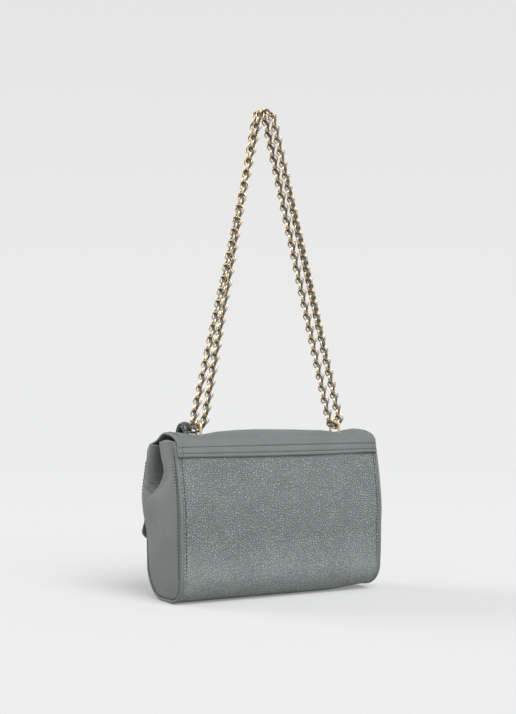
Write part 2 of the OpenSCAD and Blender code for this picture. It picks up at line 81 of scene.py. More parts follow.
def feed(tree, part, inputs):
    """Gives each input its value, or a link from a socket or from a node's first output."""
    for name, value in inputs.items():
        if isinstance(value, bpy.types.Node):
            value = value.outputs[0]
        if isinstance(value, bpy.types.NodeSocket):
            tree.links.new(value, part.inputs[name])
        else:
            part.inputs[name].default_value = value


def node(tree, kind, inputs=None, **settings):
    """A new node, with its settings made first and its inputs fed after."""
    made = tree.nodes.new(kind)
    for name, value in settings.items():
        setattr(made, name, value)
    feed(tree, made, inputs or {})
    return made


def remap(tree, value, low, high, least=0, most=1, **settings):
    """A node that turns the span from low to high into the span from least to most."""
    return node(tree, "ShaderNodeMapRange", {"Value": value, "From Min": low, "From Max": high,
                                             "To Min": least, "To Max": most}, **settings)


def sums(tree, operation, *values):
    """A node that reckons with one, two or three values."""
    return node(tree, "ShaderNodeMath", dict(enumerate(values)), operation=operation)


def mixed(tree, share, first, second):
    """The colour that lies the given share of the way from the first to the second."""
    return node(tree, "ShaderNodeMix", {"Factor": share, "A": first, "B": second},
                data_type="RGBA").outputs["Result"]


bpy.context.scene.view_settings.view_transform = "Standard"
world = bpy.data.worlds.new("pale sky")
bpy.context.scene.world = world
world.use_nodes = True
sky = world.node_tree
sky.nodes.clear()
ray = node(sky, "ShaderNodeLightPath").outputs
seen = sums(sky, "MAXIMUM", ray["Is Camera Ray"], ray["Is Glossy Ray"])
seen = sums(sky, "MAXIMUM", seen, ray["Is Transmission Ray"])
sky_way = node(sky, "ShaderNodeTexCoord").outputs["Generated"]
sky_rise = node(sky, "ShaderNodeSeparateXYZ", {0: sky_way}).outputs["Z"]
sky_tone = mixed(sky, remap(sky, sky_rise, 0, UPPER_FROM), HORIZON_TONE, UPPER_TONE)
lit_sky = node(sky, "ShaderNodeBackground", {"Color": (0.97, 0.985, 1, 1), "Strength": 0.38})
seen_sky = node(sky, "ShaderNodeBackground", {"Color": sky_tone})
whole_sky = node(sky, "ShaderNodeMixShader", {"Fac": seen, 1: lit_sky, 2: seen_sky})
node(sky, "ShaderNodeOutputWorld", {"Surface": whole_sky})

for name, energy, spread, way in (("soft", 2.30, 40, (0.00, 0.71, 0.70)),
                                  ("side", 1.15, 36, (0.56, -0.74, 0.36))):
    lamp_data = bpy.data.lights.new(name + " lamp", "SUN")
    lamp_data.energy = energy
    lamp_data.angle = math.radians(spread)
    lamp_data.color = (1, 0.99, 0.98)
    lamp = put_in_scene(name + "_lamp", lamp_data)
    lamp.rotation_euler = Vector(way).to_track_quat("Z", "Y").to_euler()

# Floor: a wide sheet of pale paper under the bag. The camera sees it lifted a little towards white,
# and far from the bag it fades into the tone of the sky. It keeps the bag's soft shadow.
FLOOR_REACH, FLOOR_Z = 40, -0.0003
FADE_FROM, FADE_TO = 0.45, 2.2
PAPER_TONE, SEEN_PAPER_TONE = (0.60, 0.60, 0.60, 1), (0.620, 0.623, 0.628, 1)
SEEN_GLOW = 0.23


def object_place(tree):
    """Where on the object the shader is."""
    return node(tree, "ShaderNodeTexCoord").outputs["Object"]


def new_finish(name):
    """A new material, with its node tree and its shader."""
    material = bpy.data.materials.new(name)
    material.use_nodes = True
    return material, material.node_tree, material.node_tree.nodes["Principled BSDF"]


floor_paper, tree, shader = new_finish("pale floor paper")
by_camera = node(tree, "ShaderNodeLightPath").outputs["Is Camera Ray"]
glow = sums(tree, "MULTIPLY", by_camera, SEEN_GLOW)
feed(tree, shader, {"Base Color": mixed(tree, by_camera, PAPER_TONE, SEEN_PAPER_TONE), "Roughness": 0.9,
                    "Specular IOR Level": 0, "Emission Color": (1, 1, 1, 1), "Emission Strength": glow})
floor_away = node(tree, "ShaderNodeVectorMath", {0: object_place(tree)}, operation="LENGTH").outputs["Value"]
floor_fade = remap(tree, floor_away, FADE_FROM, FADE_TO, interpolation_type="SMOOTHSTEP")
far_floor = node(tree, "ShaderNodeEmission", {"Color": HORIZON_TONE})
whole_floor = node(tree, "ShaderNodeMixShader", {"Fac": floor_fade, 1: shader, 2: far_floor})
feed(tree, tree.nodes["Material Output"], {"Surface": whole_floor})
floor_mesh = bpy.data.meshes.new("floor")
floor_mesh.from_pydata([(x * FLOOR_REACH, y * FLOOR_REACH, FLOOR_Z)
                        for x, y in ((-1, -1), (1, -1), (1, 1), (-1, 1))], [], [(0, 1, 2, 3)])
floor = put_in_scene("floor", floor_mesh)
floor_mesh.materials.append(floor_paper)

# Body leather: one hide runs down the back, round the base and up the front. It is pebbled calf,
# nearly two millimetres thick. The side seams draw its ends in, and the base's left end lifts a little.
BACK_TOP, FRONT_TOP = 0.1427, 0.1372
LEAN_FROM, BACK_LEAN, FRONT_LEAN = 0.065, 0.0136, 0.0035
HALF_DEPTH, BASE_R = 0.0355, 0.027
HIDE_THICK, HIDE_END, STITCH_X = 0.0018, 0.1016, 0.0997
HIDE_INSET, HIDE_DROP = 0.0002, 0.001
WALL_ROWS, CORNER_ROWS, BASE_ROWS = 60, 22, 7
FULLNESS, LEFT_FLARE = 0.0011, 0.0006
LEFT_LIFT, LIFT_TOP = 0.0033, 0.036
GROOVE_DEEP, GROOVE_WIDE = 0.00050, 0.00055
# Each shallow wave is its size, its rates along and up the panel, and its start.
PANEL_WAVES = ((0.00035, 47, 31, 0.6), (0.00022, -83, 52, 1.9))
# Each table gives heights and the metres by which the seam draws the panel in, or the ends flare.
SEAM_PULL = ((0, 0.0004), (0.009, 0.0009), (0.017, 0.0023), (0.027, 0.0027), (0.037, 0.0022),
             (0.047, 0.0020), (0.067, 0.0020), (0.087, 0.0017), (0.107, 0.0017), (0.127, 0.0014),
             (0.137, 0.0010), (0.142, 0.0006))
BACK_FLARE = ((0, -0.0012), (0.009, -0.0008), (0.017, 0), (0.037, 0.0002), (0.057, 0.0005), (0.087, 0.0008),
              (0.107, 0.0010), (0.127, 0.0013), (0.132, 0.0014), (0.141, 0.0019))
FRONT_FLARE = ((0, -0.0010), (0.010, -0.0006), (0.018, -0.0002), (0.025, 0.0004), (0.037, 0.0006),
               (0.049, 0.0008), (0.073, 0.0018), (0.091, 0.0026), (0.104, 0.0026), (0.124, 0.0012),
               (0.137, 0.0003))


def new_tree(name, kind, inputs, outputs):
    """A node group with named sockets, each given as its kind and its size, if it has one."""
    group = bpy.data.node_groups.new(name, kind)
    for in_out, sockets in (("INPUT", inputs), ("OUTPUT", outputs)):
        for socket, (socket_kind, size) in sockets.items():
            made = group.interface.new_socket(socket, in_out=in_out, socket_type="NodeSocket" + socket_kind)
            if size is not None:
                made.default_value = size
    return group


def toned(tree, colour, strength):
    """A colour made lighter or darker by a strength."""
    return node(tree, "ShaderNodeVectorMath", {0: colour, "Scale": strength}, operation="SCALE")


pebble = new_tree("pebble grain", "ShaderNodeTree",
                  {"Cell size": ("Float", 0.0012), "Tone": ("Color", None), "Valley tone": ("Color", None)},
                  {"Height": ("Float", None), "Colour": ("Color", None), "Roughness": ("Float", None)})
asked = node(pebble, "NodeGroupInput").outputs
place = object_place(pebble)
per_metre = sums(pebble, "DIVIDE", 1, asked["Cell size"])
cells = node(pebble, "ShaderNodeTexVoronoi", {"Vector": place, "Scale": per_metre, "Randomness": 1},
             feature="DISTANCE_TO_EDGE")
crown = remap(pebble, cells, 0, 0.28, interpolation_type="SMOOTHSTEP")
pores = node(pebble, "ShaderNodeTexNoise", {"Vector": place, "Scale": 1500, "Detail": 2})
height = sums(pebble, "MULTIPLY_ADD", pores, 0.3, crown)
clouds = node(pebble, "ShaderNodeTexNoise", {"Vector": place, "Scale": 38, "Detail": 3})
grain_tone = toned(pebble, mixed(pebble, crown, asked["Valley tone"], asked["Tone"]),
                   remap(pebble, clouds, 0.3, 0.7, 0.93, 1.06))
node(pebble, "NodeGroupOutput", {"Height": height, "Colour": grain_tone,
                                 "Roughness": remap(pebble, crown, 0, 1, 0.64, 0.40)})


def hide(name, tone, valley, cell, depth, coat=0.0, sheen=0.0, pressed_and_shaded_heights=None):
    """Leather with pebble grain. Below the first of two given heights its grain is almost pressed out and
    painted shade darkens it a little, fading out by the second.
    """
    material, tree, shader = new_finish(name)
    asked = {"Cell size": cell, "Tone": (*tone, 1), "Valley tone": (*valley, 1)}
    grain = node(tree, "ShaderNodeGroup", asked, node_tree=pebble).outputs
    colour, strength = grain["Colour"], 1
    if pressed_and_shaded_heights:
        up = node(tree, "ShaderNodeSeparateXYZ", {0: object_place(tree)}).outputs["Z"]
        # Painted shade: the colour darkens towards the base, where the grain is also pressed out
        colour, strength = toned(tree, colour, remap(tree, up, *pressed_and_shaded_heights, 0.93)), remap(tree, up, *pressed_and_shaded_heights, 0.25)
    bump = node(tree, "ShaderNodeBump", {"Strength": strength, "Distance": depth, "Height": grain["Height"]})
    feed(tree, shader, {"Base Color": colour, "Roughness": grain["Roughness"], "Normal": bump,
                        "Specular IOR Level": 0.42, "Coat Weight": coat, "Coat Roughness": 0.16,
                        "Sheen Weight": sheen})
    return material


def unit(ways):
    """The same ways, each one long."""
    return ways / np.linalg.norm(ways, axis=-1, keepdims=True)


def ways_of(grid):
    """The ways down and across a grid of points, and the way that it faces."""
    down, across = np.gradient(grid, axis=0), np.gradient(grid, axis=1)
    return down, across, unit(np.cross(down, across))


def finish_mesh(name, mesh, material=None):
    """The piece of a mesh whose faces are turned outwards and shaded smooth."""
    shape = bmesh.new()
    shape.from_mesh(mesh)
    bmesh.ops.recalc_face_normals(shape, faces=shape.faces)
    shape.to_mesh(mesh)
    shape.free()
    mesh.shade_smooth()
    if material:
        mesh.materials.append(material)
    return put_in_scene(name, mesh)


def sheet(name, outer, thick, material):
    """A sheet of leather, cloth or board from its outer face, a grid of points, with round edges."""
    rows, cols = outer.shape[:2]
    down, across, normal = ways_of(outer)
    inner = outer - normal * thick
    border = ([(0, j) for j in range(cols)] + [(i, cols - 1) for i in range(1, rows)]
              + [(rows - 1, j) for j in range(cols - 2, -1, -1)] + [(i, 0) for i in range(rows - 2, 0, -1)])
    # Three steps round the edge lead from the outer face's border to the inner one's
    rims = []
    for turn in (math.radians(45), math.radians(90), math.radians(135)):
        for i, j in border:
            out = np.zeros(3)
            if i in (0, rows - 1):
                out += unit(down[i, j]) * (1 if i else -1)
            if j in (0, cols - 1):
                out += unit(across[i, j]) * (1 if j else -1)
            middle = (outer[i, j] + inner[i, j]) / 2
            rims.append(middle + thick / 2 * (math.cos(turn) * normal[i, j] + math.sin(turn) * unit(out)))
    points = np.concatenate([outer.reshape(-1, 3), inner.reshape(-1, 3), np.array(rims)])
    count, loop = rows * cols, len(border)
    faces = []
    for i in range(rows - 1):
        for a in range(i * cols, i * cols + cols - 1):
            b, c, d = a + 1, a + cols + 1, a + cols
            faces += [(a, d, c, b), (count + a, count + b, count + c, count + d)]
    edges = [[i * cols + j for i, j in border]]
    edges += [[2 * count + r * loop + k for k in range(loop)] for r in range(3)]
    edges += [[count + k for k in edges[0]]]
    for upper, lower in zip(edges[:-1], edges[1:]):
        for k in range(loop):
            m = (k + 1) % loop
            faces.append((upper[k], upper[m], lower[m], lower[k]))
    mesh = bpy.data.meshes.new(name)
    mesh.from_pydata(points.tolist(), [], faces)
    # Where each point lies when the sheet is laid flat, for weaves and ribs that follow it
    steps_down, steps_over = (np.linalg.norm(np.diff(outer, axis=axis), axis=2) for axis in (0, 1))
    run_down = np.concatenate([np.zeros((1, cols)), steps_down.cumsum(0)])
    run_over = np.concatenate([np.zeros((rows, 1)), steps_over.cumsum(1)], 1)
    flat = np.stack([run_over, run_down], 2).reshape(-1, 2)
    laid = np.concatenate([flat, flat] + [flat[edges[0]]] * 3)
    corners = np.empty(len(mesh.loops), int)
    mesh.loops.foreach_get("vertex_index", corners)
    mesh.uv_layers.new(name="laid flat").data.foreach_set("uv", laid[corners].ravel())
    return finish_mesh(name, mesh, material)


def ramp(value, low, high):
    """A smooth rise from 0 at low to 1 at high."""
    share = np.clip((value - low) / (high - low), 0, 1)
    return share * share * (3 - 2 * share)


def bell(value, middle, width):
    """1 at the middle, falling away smoothly on both sides."""
    return np.exp(-((value - middle) / width) ** 2)


def by_table(value, table):
    """Reads a table of pairs, straight from one entry to the next."""
    return np.interp(value, *np.array(table).T)


def wall_lean(side, z):
    """How far a wall has leant inward at a height: the back one is pressed in more than the front."""
    top, lean = (BACK_TOP, BACK_LEAN) if side > 0 else (FRONT_TOP, FRONT_LEAN)
    return lean * (np.maximum(0, z - LEAN_FROM) / (top - LEAN_FROM)) ** 2


def wall_line(side, inset, low, top, count):
    """Points (y, z) up one wall of the bag, between two heights."""
    z = np.linspace(low, top, count)
    return np.stack([side * (HALF_DEPTH - inset - wall_lean(side, z)), z], 1)


def bag_line(inset, back_top, front_top, count=WALL_ROWS):
    """Points (y, z) down the back, round the base and up the front, with a count for each wall."""
    flat, r = HALF_DEPTH - BASE_R, BASE_R - inset
    turns = np.linspace(0.04, math.pi / 2, CORNER_ROWS)
    arc = np.array([(flat + r * math.cos(a), BASE_R - r * math.sin(a)) for a in turns])
    base = np.array([(y, inset) for y in np.linspace(flat, -flat, BASE_ROWS)[1:-1]])
    return np.concatenate([wall_line(1, inset, BASE_R, back_top, count)[::-1], arc, base,
                           (arc * (-1, 1))[::-1], wall_line(-1, inset, BASE_R, front_top, count)])


def waves(kinds, along, up):
    """Shallow unevenness, the sum of some kinds of wave."""
    return sum(size * np.sin(rate * along + rise * up + start) for size, rate, rise, start in kinds)


def drawn_in(x, z):
    """How far the side seams draw the back panel in at its ends."""
    return by_table(z, SEAM_PULL) * ramp(np.abs(x), 0.070, HIDE_END)


def settle(x, y, z):
    """How the soft body hangs: ends flare and are drawn in, the left one lifts, the middle is full."""
    full = np.cos(np.clip(x / 0.105, -1, 1) * math.pi / 2) * np.sin(np.clip(z / 0.147, 0, 1) * math.pi)
    to_back = ramp(y, -HALF_DEPTH, HALF_DEPTH)
    flare = by_table(z, FRONT_FLARE) * (1 - to_back) + by_table(z, BACK_FLARE) * to_back
    flare = (flare + LEFT_FLARE * (x < 0) * ramp(z, 0.058, 0.078)) * ramp(np.abs(x), 0.084, HIDE_END)
    lift = LEFT_LIFT * ramp(-x, 0.052, HIDE_END) * np.maximum(0, 1 - z / LIFT_TOP) ** 2
    inward = drawn_in(x, z) * ramp(y, 0.004, 0.028)
    outward = np.sign(y) * (FULLNESS * full + waves(PANEL_WAVES, x, z) * ramp(z, 0.004, 0.03))
    return x + np.sign(x) * flare, y - inward + outward, z + lift


def body_grid(xs, line):
    """The face of the settled body over the given widths and points (y, z)."""
    x = np.broadcast_to(np.asarray(xs)[None, :], (len(line), len(xs)))
    return np.stack(settle(x, line[:, :1] + 0 * x, line[:, 1:] + 0 * x), 2)


# Painted shade darkens the body leather a little towards the base
body_hide = hide("body leather", tone=(0.350, 0.388, 0.384), valley=(0.200, 0.225, 0.223),
                 cell=0.0021, depth=0.00088, pressed_and_shaded_heights=(0.014, 0.058))
end_x = [0.0970, 0.0978, 0.0984, 0.0989, 0.0993, 0.0997, 0.1001, 0.1005, 0.1009, 0.1012]
half_x = np.concatenate([np.linspace(0, 0.0960, 46), end_x])
body_x = np.concatenate([half_x[:0:-1], -half_x])
body = body_grid(body_x, bag_line(HIDE_INSET, BACK_TOP - HIDE_DROP, FRONT_TOP - HIDE_DROP))
groove = GROOVE_DEEP * bell(np.abs(body_x), STITCH_X, GROOVE_WIDE)[None, :] * ramp(body[..., 2], 0.022, 0.040)
body[..., 1] -= np.sign(body[..., 1]) * groove
body_leather = sheet("body_leather", body, HIDE_THICK, body_hide)
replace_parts(body_leather, "back_panel", "front_panel")
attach(body_leather, "bag")

# Piping: at each end the hide's edge is turned over a cord and sewn in with the gusset, so that a
# round rib runs from the back's top edge under the base to the front's top edge.
PIPING_X, PIPING_THICK, PIPING_OUT, PIPING_DROP = (0.1032, 0.1036), 0.0031, 0.0003, 0.0012
piping_hide = hide("piping leather", tone=(0.214, 0.240, 0.238), valley=(0.182, 0.204, 0.202),
                   cell=0.0010, depth=0.00008)
piping_line = bag_line(-PIPING_OUT, BACK_TOP - PIPING_DROP, FRONT_TOP - PIPING_DROP)
for side, name in ((1, "right"), (-1, "left")):
    cord_x = side * np.linspace(*PIPING_X, 5)[::-side]
    cord = sheet("piping_" + name, body_grid(cord_x, piping_line), PIPING_THICK, piping_hide)
    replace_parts(cord, "piping_" + name)
    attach(cord, "bag")

# Gussets: one piece of smooth calf closes each end. Its front edge is rolled outward, and behind that
# roll it is pushed in under the fold of its back half, where the bag was pressed shut.
GUSSET_X, GUSSET_OUT, GUSSET_THICK, GUSSET_INSET = 0.1034, 0.0012, 0.0016, 0.0029
MEAN_TOP = 0.1395
BELLY, BELLY_TOP, LIP, SEAT = 0.0046, 0.115, 0.0012, 0.0012
GATHER, GATHER_STEP, CREASE, CREASE_STEP = 0.00030, 0.0025, 0.0011, 0.0062
FRONT_EDGE_DROP, FRONT_EDGE_WIDE, BACK_EDGE_DROP, BACK_EDGE_WIDE = 0.0028, 0.0026, 0.0022, 0.0018
FOLD_SHIFT, FOLD_FROM, BASE_SHARE, FOLD_BASE_SHARE = 0.0062, 0.09, 0.22, 0.70
GUSSET_DENTS = ((0.00022, 120, 60, 0), (0.00018, -70, 140, 1.2))
# Tables by height: the fold's share of the way from front to back, the height and the reach of the
# rolled edge, and how deep the leather behind it is pushed in. The last gives the top edge by share.
FOLD_SHARE = ((0, 0.30), (0.070, 0.24), (0.084, 0.16), (0.090, 0.15), (0.0944, 0.28), (0.102, 0.42),
              (0.108, 0.49), (0.112, 0.51), (0.119, 0.49), (0.126, 0.43), (0.136, 0.38), (0.143, 0.35))
ROLL_RISE = ((0.049, 0.0012), (0.062, 0.0020), (0.073, 0.0032), (0.080, 0.0043), (0.088, 0.0051),
             (0.094, 0.0052), (0.104, 0.0048), (0.115, 0.0044), (0.124, 0.0040), (0.134, 0.0032),
             (0.140, 0.0026))
ROLL_REACH = ((0.05, 0.50), (0.09, 0.34), (0.12, 0.20), (0.14, 0.16))
FOLD_DEPTH = ((0.084, 0), (0.090, 0.0010), (0.0944, 0.0026), (0.098, 0.0048), (0.103, 0.0086),
              (0.108, 0.0122), (0.113, 0.0146), (0.120, 0.0152), (0.140, 0.0146))
DEEPEST = 0.0152
BACK_HALF_TOP = ((0.30, 0.1386), (0.45, 0.1408), (0.60, 0.1425), (0.80, 0.1432), (1, 0.1424))


def ribs(tree, degrees, inputs):
    """Parallel ribs over the flat cut of a sheet, turned by some degrees."""
    flat = node(tree, "ShaderNodeUVMap", uv_map="laid flat")
    turned = node(tree, "ShaderNodeMapping", {"Vector": flat, "Rotation": (0, 0, math.radians(degrees))})
    return node(tree, "ShaderNodeTexWave", {"Vector": turned, **inputs}).outputs["Fac"]


gusset_hide = hide("gusset leather", tone=(0.218, 0.243, 0.238), valley=(0.184, 0.206, 0.201),
                   cell=0.0010, depth=0.00006)
tree = gusset_hide.node_tree
gathered_here = node(tree, "ShaderNodeAttribute", attribute_name="gathered").outputs["Fac"]
painted_fold_shade_here = node(tree, "ShaderNodeAttribute", attribute_name="painted_fold_shade").outputs["Fac"]
gathers = ribs(tree, 97, {"Scale": 100, "Distortion": 1.6, "Detail": 2, "Detail Scale": 0.6})
gather_bump = node(tree, "ShaderNodeBump", {"Strength": gathered_here, "Distance": 0.0005, "Height": gathers})
feed(tree, tree.nodes["Bump"], {"Normal": gather_bump})
# Painted shade: the colour darkens to 0.30 of itself at the fold, where shade falls
fold_shaded_colour = toned(tree, tree.nodes["Group"].outputs["Colour"], remap(tree, painted_fold_shade_here, 0, 1, 1.0, 0.30))
feed(tree, tree.nodes["Principled BSDF"], {"Base Color": fold_shaded_colour})


def wall_y(side, z, inset):
    """Where the inside of a wall stands at a height, round the base's corner too."""
    corner = np.sqrt(np.maximum(0, (BASE_R - inset) ** 2 - np.maximum(0, BASE_R - z) ** 2))
    return side * np.where(z < BASE_R, HALF_DEPTH - BASE_R + corner, HALF_DEPTH - inset - wall_lean(side, z))


def rounded(value, width):
    """The drop of a rounded edge: 1 at its end, and 0 from the given width on."""
    return 1 - np.sqrt(1 - (1 - np.clip(value / width, 0, 1)) ** 2)


def gusset_grid(side, outset, inset, drop, fine=4, before=38, behind=44):
    """Outer face of a gusset, how gathered it is and how much painted shade darkens it at the fold, which
    runs along a column.

    A point's u is its share of the way from the front seam to the back one, and v of the way up."""
    # Rows crowd together at the base and in the fold, and columns at both seams and behind the fold
    v = np.concatenate([BASE_SHARE * (1 - np.cos(np.linspace(0, math.pi / 2, 12 * fine, False))),
                        np.linspace(BASE_SHARE, FOLD_BASE_SHARE, 12 * fine, False),
                        np.linspace(FOLD_BASE_SHARE, 1, 28 * fine)])[:, None]
    fold_at = by_table(inset + (MEAN_TOP - inset) * v, FOLD_SHARE)
    t = np.linspace(0, 1, before)[None, :] ** 1.25
    w = np.linspace(0, 1, behind)[None, 1:]
    w = 0.5 * w * w * (3 - 2 * w) + 0.5 * w
    u = np.concatenate([fold_at * t, fold_at + (1 - fold_at) * w], 1)
    in_front = np.concatenate([np.ones(before), np.zeros(behind - 1)])[None, :]
    share = np.clip((u - FOLD_FROM) / np.maximum(fold_at - FOLD_FROM, 0.02), 0, 1)
    # The cut: both side seams, and a top edge that differs before and behind the fold
    front_top = FRONT_TOP + 0.0014 * ramp(u, 0.25, 0) + 0.0012 * ramp(share, 0.9, 1)
    top = np.where(in_front, front_top, by_table(u, BACK_HALF_TOP)) - drop
    z = inset + (top - inset) * v
    y_front, y_back = wall_y(-1, z, inset), wall_y(1, z, inset)
    y = y_front * (1 - u) + y_back * u
    seam_x, settled_y, settled_z = settle(np.full_like(y, GUSSET_X), y, z)
    from_front, from_back = y - y_front, y_back - y
    # The relief: a soft belly, the rolled front edge, and the fold with its lip and creases
    belly = BELLY * np.sin(math.pi * u) ** 0.9 * np.sin(math.pi * np.clip(z / BELLY_TOP, 0, 1)) ** 0.9
    roll = (by_table(z, ROLL_RISE) * bell(np.maximum(0, u - 0.075), 0, by_table(z, ROLL_REACH))
            * ramp(z, 0.020, 0.062))
    cut = by_table(z, FOLD_DEPTH)
    pushed = np.where(in_front, share ** 1.5, rounded(u - fold_at, 0.055))
    tucked = cut / DEEPEST * np.where(in_front, share ** 4, np.exp(-np.maximum(0, u - fold_at) / 0.018))
    lip = LIP * bell(u - fold_at, 0.10, 0.06) * (1 - in_front) * ramp(z, 0.096, 0.114)
    crease = CREASE * np.sin((z * 0.82 + 0.030 * (u - 0.2)) * 2 * math.pi / CREASE_STEP)
    crease = crease * bell(z, 0.0990, 0.0080) * bell(u, 0.24, 0.15) * in_front
    edge = (FRONT_EDGE_DROP * rounded(from_front, FRONT_EDGE_WIDE)
            + BACK_EDGE_DROP * rounded(from_back, BACK_EDGE_WIDE))
    dents = waves(GUSSET_DENTS, y, z)
    sink = (1 - ramp(z - inset, 0, 0.0022)) * SEAT
    # The back seam gathers the leather, and painted shade darkens it at the fold
    gathered = ramp(from_back, 0.0170, 0.0040) * ramp(z, 0.092, 0.112)
    gather_turn = 2 * math.pi * (z + 0.1 * from_back) / GATHER_STEP + 2.2 * np.sin(190 * z + 90 * from_back)
    x = seam_x + GUSSET_OUT + belly + roll + lip + crease + dents - cut * pushed - edge - sink - outset
    x = x + GATHER * gathered * np.sin(gather_turn)
    gathered = np.maximum(gathered, in_front * bell(z, 0.101, 0.008) * bell(u, 0.28, 0.12))
    # Painted shade for the fold: strongest just before it, fading towards the front roll and behind it
    shade = np.where(in_front, 0.15 + 0.85 * ramp(share, 0, 0.5), np.exp((fold_at - u) / 0.030))
    painted_fold_shade = ramp(z, 0.092, 0.110) * shade
    return np.stack([side * x, settled_y + FOLD_SHIFT * tucked, settled_z], 2), gathered, painted_fold_shade


for side, name in ((1, "right"), (-1, "left")):
    grid, *masks = gusset_grid(side, outset=0, inset=GUSSET_INSET, drop=0)
    gusset = sheet("gusset_leather_" + name, grid if side < 0 else grid[:, ::-1], GUSSET_THICK, gusset_hide)
    for attribute, mask in zip(("gathered", "painted_fold_shade"), masks):
        values = np.zeros(len(gusset.data.vertices))
        values[:mask.size] = (mask if side < 0 else mask[:, ::-1]).ravel()
        gusset.data.attributes.new(attribute, "FLOAT", "POINT").data.foreach_set("value", values)
    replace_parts(gusset, "gusset_" + name)
    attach(gusset, "bag")

# Flap: one smooth hide with a lining. Its back end is folded under and sewn across the back panel as
# a band, and the rest turns over the crest and hangs down the front. It dips where the strap pulls.
FLAP_THICK, FLAP_HALF, FLAP_CORNER_R = 0.0023, 0.1013, 0.008
BAND_LOW, BAND_TOP, BAND_OUT = 0.1303, 0.1415, -0.0028
BAND_SEAMS, BAND_GROOVE_DEEP, BAND_GROOVE_WIDE = (0.1325, 0.1377), 0.00035, 0.0006
BROW_NARROW, CREST_WIDE, CORNER_WIDE = 0.0014, 0.0027, 0.0032
EAR_RISE, BAND_SAG, BAND_ROLL, FRONT_SPREAD, FRONT_WAVE = 0.0018, 0.0010, 0.0006, 0.0008, 0.0006
FLAP_COLS, COL_TURN = 110, 1.25
FOLD, CREST = np.array([0.02505, 0.14185]), np.array([0.005, 0.1492])
BROW, SHOULDER = np.array([-0.032, 0.1405]), np.array([-0.0455, 0.1227])
BROW_WAY = np.array([-0.97815, -0.20791])
# The crest's rise and fall: places along it, and by how much it rises there.
CREST_LIFT = ((-0.102, 0.0004), (-0.096, 0.0013), (-0.087, 0.0008), (-0.073, -0.0018), (-0.058, 0.0004),
              (-0.031, 0.0015), (0, 0.0023), (0.014, 0.0025), (0.035, 0.0021), (0.053, 0.0010),
              (0.066, -0.0011), (0.074, -0.0020), (0.083, -0.0007), (0.095, 0.0008), (0.102, 0.0010))


def bow(a, b, c, d, count):
    """Points along a curve from a to d, pulled towards b and c."""
    t = np.linspace(0, 1, count)[:, None]
    return (1 - t) ** 3 * a + 3 * t * (1 - t) ** 2 * b + 3 * t * t * (1 - t) * c + t ** 3 * d


def flap_grid(curve, depth, half, grooved=False):
    """The flap's face over points (y, z), some depth inside it. Grooves follow the band's two seams."""
    slope = unit(np.gradient(curve, axis=0))
    moved = curve + depth * np.stack([-slope[:, 1], slope[:, 0]], 1)
    y, z = moved[:, :1], moved[:, 1:]
    # Its width: narrow at the brow, wide over the crest, rounded and turned out at the lower corners
    corner = np.where(y < -0.02, np.clip(0.0580 - z, 0, 0.0078), 0)
    width = half - (FLAP_CORNER_R - np.sqrt(FLAP_CORNER_R ** 2 - corner ** 2))
    width = width - BROW_NARROW * ramp(-y, 0.012, 0.030) * ramp(z, 0.078, 0.118)
    width = width + CREST_WIDE * ramp(y, -0.012, 0.006)
    width = width + CORNER_WIDE * ramp(-y, 0.030, 0.044) * bell(z, 0.0575, 0.0080)
    x = width * np.sin(np.linspace(-1, 1, FLAP_COLS) * COL_TURN)[None, :] / math.sin(COL_TURN)
    y, z = y + 0 * x, z + 0 * x
    from_middle = np.abs(x)
    # Its crest is pulled down at the loops, its ends stand up as ears, and the band sags a little
    lift = bell(y, 0.003, 0.019) * ramp(z, 0.137, 0.145) * by_table(x, CREST_LIFT)
    ear = EAR_RISE * ramp(from_middle, 0.088, 0.1005) * bell(y, -0.012, 0.010)
    sag = np.where(y > 0.02, -BAND_SAG * (1 - (x / 0.1025) ** 2) * ramp(z, 0.1392, 0.1302), 0)
    roll = BAND_ROLL * ramp(from_middle, 0.094, 0.1025) * ramp(z, 0.117, 0.143) * ramp(y, -0.01, 0.02)
    spread = FRONT_SPREAD * np.sign(x) * ramp(from_middle, 0.09, 0.1015) * ramp(-y, 0.02, 0.04)
    front = np.where(y < -0.03, FRONT_WAVE * np.sin(24 * x + 0.8) * np.sin(z * 40), 0)
    moved_y = y - drawn_in(x, z) * ramp(y, 0.004, 0.022)
    if grooved:
        grooves = sum(bell(z, seam, BAND_GROOVE_WIDE) for seam in BAND_SEAMS)
        moved_y = moved_y - np.where(y > 0.02, BAND_GROOVE_DEEP * grooves, 0)
    return np.stack([x + spread, moved_y + front, z + lift + ear + sag - roll], 2)


flap_hide = hide("flap leather", tone=(0.197, 0.221, 0.218), valley=(0.168, 0.189, 0.186),
                 cell=0.0012, depth=0.00009)
flap_curve = np.concatenate([
    bow(FOLD, FOLD + (-0.00163, 0.00473), CREST + (0.009, 0), CREST, 16)[:-1],
    bow(CREST, CREST - (0.014, 0), BROW - 0.0135 * BROW_WAY, BROW, 22)[:-1],
    bow(BROW, BROW + 0.009 * BROW_WAY, SHOULDER + (0, 0.012), SHOULDER, 18)[:-1],
    np.linspace(SHOULDER, (-0.0455, 0.060), 22)[:-1],
    np.linspace((-0.0455, 0.060), (-0.0441, 0.0511), 12)])
whole_curve = np.concatenate([wall_line(1, BAND_OUT, BAND_LOW, BAND_TOP, 28), flap_curve])
flap = sheet("flap_leather", flap_grid(whole_curve, 0, FLAP_HALF, grooved=True), FLAP_THICK, flap_hide)
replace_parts(flap, "flap_band", "flap")
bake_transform(flap)

# Flap lining: thin dark suede split, glued inside the flap, and darkened further as painted shade
# under the flap. It stops short of the flap's edges, which are turned in over it.
FLAP_LINING_IN, FLAP_LINING_HALF, FLAP_LINING_THICK = 0.0022, 0.0985, 0.0006
# Its own dark tone, darkened further as painted shade under the flap
suede = hide("flap lining suede", tone=(0.046, 0.052, 0.051), valley=(0.034, 0.039, 0.038),
             cell=0.0006, depth=0.00004, sheen=0.25)
flap_lining = sheet("flap_lining_suede", flap_grid(flap_curve[4:-3], FLAP_LINING_IN, FLAP_LINING_HALF),
                    FLAP_LINING_THICK, suede)
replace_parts(flap_lining, "flap_lining")
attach(flap_lining, "flap")
